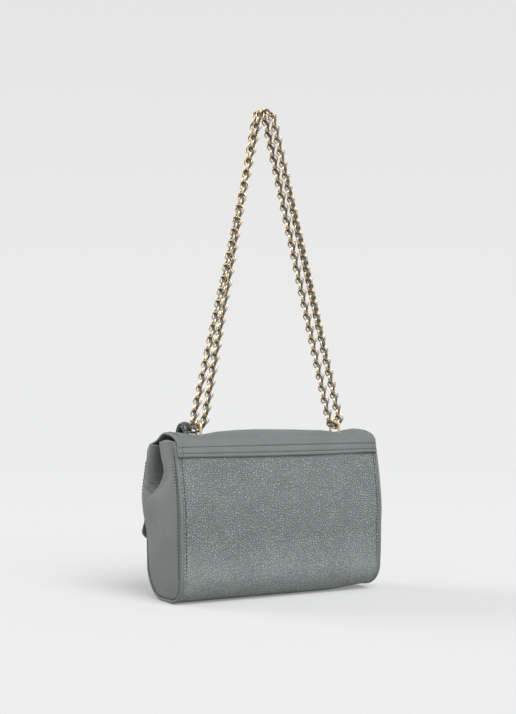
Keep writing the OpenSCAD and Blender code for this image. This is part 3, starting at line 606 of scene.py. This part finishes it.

# Lining: grey cotton twill, darkened further as painted shade for the bag's inside. It is cut as one
# length for the back, base and front and sewn to two end pieces. It hangs inside the leather from the
# facings.
LINING_IN, LINING_HALF, LINING_THICK = 0.0035, 0.099, 0.0006
LINING_BACK_TOP, LINING_FRONT_TOP = 0.121, 0.114
END_OUTSET, END_INSET, END_DROP = 0.0022, 0.0046, 0.003
twill, tree, shader = new_finish("lining twill")
twill_ribs = ribs(tree, 63, {"Scale": 420, "Distortion": 0.6, "Detail": 1})
twill_bump = node(tree, "ShaderNodeBump", {"Distance": 0.0001, "Height": twill_ribs})
# Dark twill tones, darkened further as painted shade inside the bag
twill_tone = mixed(tree, twill_ribs, (0.045, 0.049, 0.048, 1), (0.072, 0.078, 0.076, 1))
feed(tree, shader, {"Base Color": twill_tone, "Roughness": 0.85, "Sheen Weight": 0.3, "Normal": twill_bump})
lining_line = bag_line(LINING_IN, LINING_BACK_TOP, LINING_FRONT_TOP, 24)
lining = sheet("lining_cloth", body_grid(np.linspace(LINING_HALF, -LINING_HALF, 60), lining_line),
               LINING_THICK, twill)
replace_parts(lining, "lining_back", "lining_front")
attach(lining, "bag")
for side, name in ((1, "right"), (-1, "left")):
    grid = gusset_grid(side, END_OUTSET, END_INSET, END_DROP, fine=1, before=24, behind=26)[0]
    end = sheet("lining_end_" + name, grid if side < 0 else grid[:, ::-1], LINING_THICK, twill)
    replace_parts(end, "lining_side_" + name)
    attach(end, "bag")

# Facings: two strips of smooth calf inside the mouth, one on the back and one on the front. Each is
# sewn down over the lining's raw edge.
FACING_IN, FACING_DROP, FACING_DEEP, FACING_HALF, FACING_THICK = 0.0022, 0.0007, 0.0255, 0.0988, 0.0011
for side, name, top in ((1, "back", BACK_TOP), (-1, "front", FRONT_TOP)):
    facing_line = wall_line(side, FACING_IN, top - FACING_DEEP, top - FACING_DROP, 12)
    strip = body_grid(np.linspace(-FACING_HALF, FACING_HALF, 60), facing_line)
    facing = sheet("facing_" + name + "_leather", strip if side > 0 else strip[::-1],
                   FACING_THICK, piping_hide)
    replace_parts(facing, "facing_" + name)
    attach(facing, "bag")

# Slip pocket: a patch of the lining twill on the back lining. It is sewn down on three sides and
# stands a little open at the top.
POCKET_IN, POCKET_HALF, POCKET_LOW, POCKET_TOP = 0.0044, 0.0617, 0.0382, 0.1047
POCKET_OPEN, POCKET_THICK = 0.0012, 0.0007
pocket_line = wall_line(1, POCKET_IN, POCKET_LOW, POCKET_TOP, 20)
patch = body_grid(np.linspace(-POCKET_HALF, POCKET_HALF, 40), pocket_line)
patch[..., 1] -= POCKET_OPEN * ramp(patch[..., 2], 0.082, 0.105) * (1 - (patch[..., 0] / 0.062) ** 2)
pocket = sheet("slip_pocket_cloth", patch, POCKET_THICK, twill)
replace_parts(pocket, "slip_pocket")
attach(pocket, "bag")

# Base board: brown fibre board that lies loose in the base, between the hide and the lining. It bends
# with the base where the left end lifts.
board, tree, shader = new_finish("fibre board")
board_flecks = node(tree, "ShaderNodeTexNoise", {"Vector": object_place(tree), "Scale": 900})
board_tone = node(tree, "ShaderNodeValToRGB", {"Fac": board_flecks})
for stop, colour in enumerate(((0.25, 0.19, 0.12, 1), (0.42, 0.33, 0.22, 1))):
    board_tone.color_ramp.elements[stop].color = colour
feed(tree, shader, {"Base Color": board_tone, "Roughness": 0.9})
board_low, board_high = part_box("base_board")
board_line = np.stack([np.linspace(board_high.y, board_low.y, 14), np.full(14, board_high.z)], 1)
board_grid = body_grid(np.linspace(board_high.x, board_low.x, 60), board_line)[:, ::-1]
base_board = sheet("base_board_fibre", board_grid, board_high.z - board_low.z, board)
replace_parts(base_board, "base_board")
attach(base_board, "bag")

# Stitching: waxed grey thread, three millimetres to a stitch, each stitch sunk a little into the
# leather. One tree lays a stitch at every step along a seam, flat against the surface.
STITCH_STEP, STITCH_LONG, THREAD_WIDE = 0.003, 0.0021, 0.0008
BAND_SEAM_OUT, BAND_SEAM_HALF, BAND_END_X, FLAP_SEAM_HALF = -0.0026, 0.1000, 0.0973, 0.0975
SIDE_SEAM_IN, SIDE_SEAM_TOPS = 0.0004, (0.129, 0.132)
GUSSET_SEAMS, GUSSET_SEAM_LOW = ((5, 0.122), (-4, 0.134)), 0.024


def lay_along(tree, points, shape, way, axis, material, size=(1, 1, 1)):
    """A shape laid at each point, its X along the way and its Z towards the axis, as one plain mesh."""
    turned = node(tree, "FunctionNodeAlignRotationToVector", {"Vector": way}, axis="X")
    rolled = node(tree, "FunctionNodeAlignRotationToVector", {"Rotation": turned, "Vector": axis},
                  axis="Z", pivot_axis="X")
    laid = node(tree, "GeometryNodeInstanceOnPoints",
                {"Points": points, "Instance": shape, "Rotation": rolled, "Scale": size})
    real = node(tree, "GeometryNodeRealizeInstances", {"Geometry": laid})
    smooth = node(tree, "GeometryNodeSetShadeSmooth", {"Geometry": real})
    return node(tree, "GeometryNodeSetMaterial", {"Geometry": smooth, "Material": material})


def way_marked(tree, name):
    """The way that is stored on each point under a name."""
    return node(tree, "GeometryNodeInputNamedAttribute", {"Name": name}, data_type="FLOAT_VECTOR")


def grow(name, points, edges, ways, tree, material):
    """The plain mesh that a tree makes on some points, each with its named ways."""
    path = bpy.data.meshes.new(name + "_path")
    path.from_pydata([tuple(p) for p in points], edges, [])
    for way, values in ways.items():
        path.attributes.new(way, "FLOAT_VECTOR", "POINT").data.foreach_set("vector", np.ravel(values))
    maker = put_in_scene(name + "_path", path)
    layer = maker.modifiers.new(tree.name, "NODES")
    layer.node_group = tree
    for item in tree.interface.items_tree:
        if item.item_type == "SOCKET" and item.in_out == "INPUT" and item.name == "Material":
            layer[item.identifier] = material
    made = bpy.data.meshes.new_from_object(maker.evaluated_get(bpy.context.evaluated_depsgraph_get()))
    made.name = name
    bpy.data.objects.remove(maker)
    return made


stitch_tree = new_tree("row of stitches", "GeometryNodeTree",
                       {"Seam": ("Geometry", None), "Step": ("Float", STITCH_STEP),
                        "Stitch": ("Float", STITCH_LONG), "Thread": ("Float", THREAD_WIDE),
                        "Material": ("Material", None)}, {"Stitches": ("Geometry", None)})
asked = node(stitch_tree, "NodeGroupInput").outputs
seam_curve = node(stitch_tree, "GeometryNodeMeshToCurve", {"Mesh": asked["Seam"]})
steps = node(stitch_tree, "GeometryNodeResampleCurve", {"Curve": seam_curve, "Length": asked["Step"]},
             mode="LENGTH")
bead = node(stitch_tree, "GeometryNodeMeshUVSphere", {"Segments": 8, "Rings": 5, "Radius": 0.5})
bead_size = node(stitch_tree, "ShaderNodeCombineXYZ",
                 {"X": asked["Stitch"], "Y": asked["Thread"], "Z": asked["Thread"]})
stitches = lay_along(stitch_tree, steps, bead, node(stitch_tree, "GeometryNodeInputTangent"),
                     way_marked(stitch_tree, "away"), asked["Material"], bead_size)
node(stitch_tree, "NodeGroupOutput", {"Stitches": stitches})

thread, tree, shader = new_finish("waxed thread")
thread_twist = node(tree, "ShaderNodeTexWave", {"Vector": object_place(tree), "Scale": 900}).outputs["Fac"]
thread_tone = mixed(tree, thread_twist, (0.026, 0.031, 0.031, 1), (0.045, 0.054, 0.052, 1))
feed(tree, shader, {"Base Color": thread_tone, "Roughness": 0.5})


def sew(name, seams, body_name):
    """Stitches along seams, each a list of points with the way that the leather faces there."""
    points, edges, away = [], [], []
    for line, facing in seams:
        edges += [(len(points) + k, len(points) + k + 1) for k in range(len(line) - 1)]
        points += list(line)
        away += list(facing)
    row = put_in_scene(name, grow(name, points, edges, {"away": away}, stitch_tree, thread))
    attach(row, body_name)


def seam_on(grid, column=None, row=None):
    """A seam that follows one column or row of a sheet's outer face."""
    normal = ways_of(grid)[2]
    return (grid[:, column], normal[:, column]) if row is None else (grid[row], normal[row])


body_seams = []
for x in (-STITCH_X, STITCH_X):
    for wall in (slice(0, WALL_ROWS + 6), slice(-WALL_ROWS, None)):
        line = bag_line(SIDE_SEAM_IN, *SIDE_SEAM_TOPS)[wall]
        body_seams.append(seam_on(body_grid([x + 0.001, x, x - 0.001], line), column=1))
for seam in BAND_SEAMS:
    line = wall_line(1, BAND_SEAM_OUT, seam - 0.001, seam + 0.001, 3)
    body_seams.append(seam_on(flap_grid(line, 0.00001, BAND_SEAM_HALF), row=1))
band_end = flap_grid(wall_line(1, BAND_SEAM_OUT, 0.1308, 0.1412, 12), 0.00001, BAND_END_X)
body_seams += [seam_on(band_end, column=column) for column in (0, -1)]
for side in (-1, 1):
    grid = gusset_grid(side, outset=-0.0002, inset=GUSSET_INSET, drop=0)[0]
    for column, seam_top in GUSSET_SEAMS:
        line, facing = seam_on(grid, column=column)
        straight = (line[:, 2] > GUSSET_SEAM_LOW) & (line[:, 2] < seam_top)
        body_seams.append((line[straight], side * -facing[straight]))
sew("body_stitches", body_seams, "bag")
edge_grid = flap_grid(flap_curve, -0.0001, FLAP_SEAM_HALF)
low_row = len(edge_grid) - 5
left_side, right_side = ([part[8:low_row] for part in seam_on(edge_grid, column=column)]
                         for column in (0, -1))
low_side = [part[1:-1] for part in seam_on(edge_grid, row=low_row)]
flap_seam = [np.concatenate([left, low, right[::-1]])
             for left, low, right in zip(left_side, low_side, right_side)]
sew("flap_stitches", [flap_seam], "flap")

# Gold metal: the chain, strap loops, lock and stud are brass, plated pale gold and polished. On the
# chain's rings, painted shade darkens the inner side of the wire, where the rings shade one another.
GOLD_DULL, GOLD_BRIGHT, PAINTED_HOLLOW_SHADE = (0.66, 0.48, 0.28, 1), (0.90, 0.72, 0.47, 1), (0.085, 0.062, 0.038, 1)
gold, tree, shader = new_finish("pale gold plating")
wear = node(tree, "ShaderNodeTexNoise", {"Vector": object_place(tree), "Scale": 420, "Detail": 4})
hollow_here = node(tree, "ShaderNodeAttribute", attribute_name="hollow").outputs["Fac"]
# Painted shade: the inner side of each ring's wire is darkened
painted_shade_share = remap(tree, hollow_here, 0.50, 0.90, interpolation_type="SMOOTHSTEP")
gold_tone = mixed(tree, painted_shade_share, mixed(tree, wear, GOLD_DULL, GOLD_BRIGHT), PAINTED_HOLLOW_SHADE)
feed(tree, shader, {"Base Color": gold_tone, "Metallic": 1, "Roughness": remap(tree, wear, 0, 1, 0.14, 0.30)})
for name in ("strap_loop_right", "strap_loop_left", "loop_plate_right", "loop_plate_left", "lock_plate",
             "lock_screws", "lock_back_plate", "turn_knob", "lock_spindle", "lock_tongue", "keeper",
             "keeper_rivets", "keeper_backing", "fob_stud"):
    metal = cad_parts[name]
    metal.data.materials.clear()
    metal.data.materials.append(gold)

# Chain: one closed loop of oval-wire brass rings, every second one turned a quarter. Two runs go over
# the top, and each end turns through a strap loop. One tree lays a ring at every link's middle.
PITCH, TURN_PITCH = 0.0058, 0.0055
RING_R, WIRE_DEEP, WIRE_WIDE = 0.003675, 0.00074, 0.00108
LOOP_X, LOOP_Y, TURN_Z = 0.0727, 0.003, 0.1538
TOP_X, OUTER_Y, INNER_Y, TOP_Z = 0.005, 0.0075, -0.0035, 0.4452
TURN_SLOPES, OUTER_SLOPES, INNER_SLOPES = (-56, 0, 56), (62, 20, -20, -62), (62, 0, -62)
OUTER_TWIST = 30


def link_walk(angles, middle):
    """Points between links that follow one another at the given slopes, with their middle at a place."""
    steps = np.array([(math.cos(math.radians(a)), math.sin(math.radians(a))) for a in angles])
    walk = np.concatenate([[(0, 0)], steps.cumsum(0)])
    walk = walk - (walk[-1, 0] / 2, walk[len(angles) // 2, 1])
    return [np.array(middle) + TURN_PITCH * np.array([p[0], 0, p[1]]) for p in walk]


def link_strand(foot, head, extra):
    """Points between the links of a straight run, an even number of links and some extra."""
    count = 2 * math.ceil(np.linalg.norm(head - foot) / PITCH / 2) + extra
    return [foot + (head - foot) * k / count for k in range(count)]


right_turn = link_walk(TURN_SLOPES, (LOOP_X, LOOP_Y, TURN_Z))
left_turn = link_walk(TURN_SLOPES, (-LOOP_X, LOOP_Y, TURN_Z))
outer_arch = link_walk(OUTER_SLOPES, (TOP_X, OUTER_Y, TOP_Z))
inner_arch = link_walk(INNER_SLOPES, (TOP_X, INNER_Y, TOP_Z))[::-1]
outer_run = (link_strand(left_turn[0], outer_arch[0], 0) + outer_arch
             + link_strand(right_turn[3], outer_arch[4], 1)[::-1])
inner_run = (link_strand(right_turn[0], inner_arch[0], 0) + inner_arch
             + link_strand(left_turn[3], inner_arch[3], 0)[::-1])
route = np.array(outer_run + right_turn[2:0:-1] + inner_run + left_turn[2:0:-1])
ring_middles, ring_ways, ring_axes = [], [], []
for i, (a, b) in enumerate(zip(route, np.roll(route, -1, axis=0))):
    way = unit(b - a)
    level = unit(np.array([0, 1, 0]) - way[1] * way)
    over = np.cross(way, level)
    twist = 45 + i % 2 * 90
    if i < len(outer_run) - 1:
        twist -= OUTER_TWIST * math.sin(2 * math.pi * i / (len(outer_run) - 1)) ** 2
    twist = math.radians(twist)
    ring_middles.append((a + b) / 2)
    ring_ways.append(way)
    ring_axes.append(np.cross(way, math.cos(twist) * level + math.sin(twist) * over))

chain_tree = new_tree("chain of rings", "GeometryNodeTree",
                      {"Middles": ("Geometry", None), "Ring radius": ("Float", RING_R),
                       "Wire depth": ("Float", WIRE_DEEP), "Wire width": ("Float", WIRE_WIDE),
                       "Material": ("Material", None)}, {"Chain": ("Geometry", None)})
asked = node(chain_tree, "NodeGroupInput").outputs
circle = node(chain_tree, "GeometryNodeCurvePrimitiveCircle",
              {"Resolution": 16, "Radius": asked["Ring radius"]})
wire = node(chain_tree, "GeometryNodeCurvePrimitiveCircle", {"Resolution": 6, "Radius": 1})
wire_size = node(chain_tree, "ShaderNodeCombineXYZ",
                 {"X": asked["Wire depth"], "Y": asked["Wire width"], "Z": 1})
oval = node(chain_tree, "GeometryNodeTransform", {"Geometry": wire, "Scale": wire_size})
tube = node(chain_tree, "GeometryNodeCurveToMesh", {"Curve": circle, "Profile Curve": oval})
level_place = node(chain_tree, "ShaderNodeVectorMath",
                   {0: node(chain_tree, "GeometryNodeInputPosition"), 1: (1, 1, 0)}, operation="MULTIPLY")
from_axis = node(chain_tree, "ShaderNodeVectorMath", {0: level_place}, operation="LENGTH").outputs["Value"]
outer_r = sums(chain_tree, "ADD", asked["Ring radius"], asked["Wire depth"])
inner_r = sums(chain_tree, "SUBTRACT", asked["Ring radius"], asked["Wire depth"])
# The wire's inner side is marked for the gold's painted shade
marked = node(chain_tree, "GeometryNodeStoreNamedAttribute",
              {"Geometry": tube, "Name": "hollow", "Value": remap(chain_tree, from_axis, outer_r, inner_r)},
              data_type="FLOAT", domain="POINT")
laid_rings = lay_along(chain_tree, asked["Middles"], marked, way_marked(chain_tree, "way"),
                       way_marked(chain_tree, "axis"), asked["Material"])
node(chain_tree, "NodeGroupOutput", {"Chain": laid_rings})

chain_mesh = grow("chain_rings", ring_middles, [], {"way": ring_ways, "axis": ring_axes}, chain_tree, gold)
chain = finish_mesh("chain_rings", chain_mesh)
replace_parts(chain, "chain_outer", "chain_inner", "chain_turns")
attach(chain, "strap")

# Ribbon: a strip of the dark smooth hide, folded double and woven through every link, in front of
# one crossing and behind the next. Its two lengths are spliced inside the chain near the feet.
RIBBON_WEAVE, RIBBON_HALF, RIBBON_SWELL, RIBBON_HALF_THICK = 0.0019, 0.0018, 0.0004, 0.0007
RIBBON_STEPS, RIBBON_SIDES = 5, 10
ribbon_hide = hide("ribbon leather", tone=(0.155, 0.172, 0.167), valley=(0.112, 0.124, 0.120),
                   cell=0.0008, depth=0.00004, coat=0.15)
ribbon_split = len(outer_run) + 2


def squared(value, power):
    """A sine or cosine drawn out towards 1, which makes a circle boxy."""
    return math.copysign(abs(value) ** power, value)


def ribbon_piece(name, first, last):
    """The ribbon between two points of the chain's route, with closed ends."""
    centres, normals = [], []
    count = len(route)
    # It passes every joint between links, behind it and in front of it by turns
    for i in range(first, last + 1):
        way = unit(route[(i + 1) % count] - route[(i - 1) % count])
        back = unit(np.array([0, 1, 0]) - way[1] * way)
        centres.append(route[i % count] + back * (-RIBBON_WEAVE if i % 2 else RIBBON_WEAVE))
        normals.append(back)
    # A smooth path leads through those places
    places, facings, at_joints = [], [], []
    for k, (here, after) in enumerate(zip(centres[:-1], centres[1:])):
        before, beyond = centres[max(0, k - 1)], centres[min(len(centres) - 1, k + 2)]
        for step in range(RIBBON_STEPS):
            t = step / RIBBON_STEPS
            places.append(0.5 * (2 * here + (after - before) * t
                                 + (2 * before - 5 * here + 4 * after - beyond) * t * t
                                 + (3 * here - before - 3 * after + beyond) * t ** 3))
            facings.append(normals[k] * (1 - t) + normals[k + 1] * t)
            at_joints.append(abs(2 * t - 1))
    places.append(centres[-1])
    facings.append(normals[-1])
    at_joints.append(1.0)
    # The folded strip is a flat tube along the path
    points, faces = [], []
    ways = unit(np.gradient(np.array(places), axis=0))
    for place, way, facing, at_joint in zip(places, ways, facings, at_joints):
        across = unit(np.cross(way, facing))
        out = np.cross(across, way)
        half = RIBBON_HALF + RIBBON_SWELL * at_joint
        for turn in (2 * math.pi * a / RIBBON_SIDES for a in range(RIBBON_SIDES)):
            points.append(place + across * half * squared(math.cos(turn), 0.6)
                          + out * RIBBON_HALF_THICK * squared(math.sin(turn), 0.8))
    for k in range(0, len(points) - RIBBON_SIDES, RIBBON_SIDES):
        for a in range(RIBBON_SIDES):
            b = (a + 1) % RIBBON_SIDES
            faces.append((k + a, k + b, k + RIBBON_SIDES + b, k + RIBBON_SIDES + a))
    faces.append(tuple(range(RIBBON_SIDES)))
    faces.append(tuple(range(len(points) - RIBBON_SIDES, len(points))))
    mesh = bpy.data.meshes.new(name)
    mesh.from_pydata([tuple(p) for p in points], [], faces)
    piece = finish_mesh(name, mesh, ribbon_hide)
    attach(piece, "strap")
    return piece


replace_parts(ribbon_piece("ribbon_outer_leather", 0, ribbon_split), "ribbon_outer")
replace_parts(ribbon_piece("ribbon_inner_leather", ribbon_split, len(route)), "ribbon_inner")

# Fob strap: a polished dark strip, folded double, is held at one strap loop by a short collar. It
# humps over the crest and hangs down the flap's front.
FOB_X, FOB_HALF, FOB_OUT, FOB_CROWN, FOB_THICK = 0.079, 0.0036, 0.0011, 0.0007, 0.0021
HUMP, FOLD_IN, FOLD_THICK = slice(2, 26), 0.0026, 0.0018
COLLAR_X, COLLAR_Y, COLLAR_Z, COLLAR_THICK = (0.0694, 0.0790), (-0.0052, 0), 0.1504, 0.0010
fob_hide = hide("polished fob leather", tone=(0.070, 0.086, 0.083), valley=(0.050, 0.062, 0.060),
                cell=0.0010, depth=0.00004, coat=0.7)
fob_root = (0.0002, 0.1498)
fob_start, fob_land = np.array([-0.0055, 0.1498]), np.array([-0.0239, 0.1439])
fob_brow, fob_end = BROW + (-0.0003, 0.0014), SHOULDER + (-0.0014, 0)
fob_curve = np.concatenate([
    [fob_root],
    bow(fob_start, fob_start + (-0.0015, 0.012), fob_land + (0.003, 0.017), fob_land, 26)[:-1],
    bow(fob_land, fob_land + (-0.0030, -0.0014), BROW + (0.0035, 0.0022), fob_brow, 6)[:-1],
    bow(fob_brow, BROW + (-0.0088, -0.0004), SHOULDER + (-0.0014, 0.012), fob_end, 14)])
fob_way = unit(np.gradient(fob_curve, axis=0))
fob_out = np.stack([fob_way[:, 1], -fob_way[:, 0]], 1)
fob_grid = np.array([[(FOB_X + FOB_HALF * c, *(point + out * (FOB_OUT - FOB_CROWN * c * c)))
                      for c in np.linspace(-1, 1, 13)] for point, out in zip(fob_curve, fob_out)])
fob_strap = sheet("fob_strap_leather", fob_grid, FOB_THICK, fob_hide)
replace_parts(fob_strap, "fob_strap")
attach(fob_strap, "flap")
fold_out = np.array([(0, *out) for out in fob_out[HUMP]])[:, None]
fob_fold = sheet("fob_strap_fold", fob_grid[HUMP] - fold_out * FOLD_IN, FOLD_THICK, fob_hide)
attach(fob_fold, "flap")
collar_grid = np.array([[(x, y, COLLAR_Z) for y in np.linspace(*COLLAR_Y, 8)]
                        for x in np.linspace(*COLLAR_X, 14)])
fob_collar = sheet("fob_strap_collar", collar_grid, COLLAR_THICK, fob_hide)
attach(fob_collar, "flap")

# Fob tag: a strip of the same polished hide with round ends, a little puffed in the middle. The gold
# stud joins it to the strap's end, where it swings.
TAG_R, TAG_MARGIN, TAG_IN, TAG_PUFF, TAG_THICK = 0.0098, 0.0012, 0.0008, 0.0006, 0.0022
TAG_ROWS, TAG_COLS = 40, 25
tag_low, tag_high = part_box("fob_tag")
tag_mid, tag_half = (tag_low.z + tag_high.z) / 2, (tag_high.z - tag_low.z) / 2 - TAG_MARGIN
tag_grid = np.empty((TAG_ROWS, TAG_COLS, 3))
for i, r in enumerate(np.linspace(-1, 1, TAG_ROWS)):
    reach = math.sin(r * math.pi / 2) * tag_half
    over = max(0.0, abs(reach) - (tag_half - TAG_R))
    half = math.sqrt(max(1e-7, TAG_R ** 2 - over ** 2))
    for j, c in enumerate(np.linspace(-1, 1, TAG_COLS)):
        puff = TAG_PUFF * (1 - c * c) * (1 - min(1, over / TAG_R) ** 2)
        tag_grid[i, j] = (FOB_X + half * c, tag_low.y + TAG_IN - puff, tag_mid - reach)
fob_tag = sheet("fob_tag_leather", tag_grid, TAG_THICK, fob_hide)
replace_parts(fob_tag, "fob_tag")
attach(fob_tag, "tag")
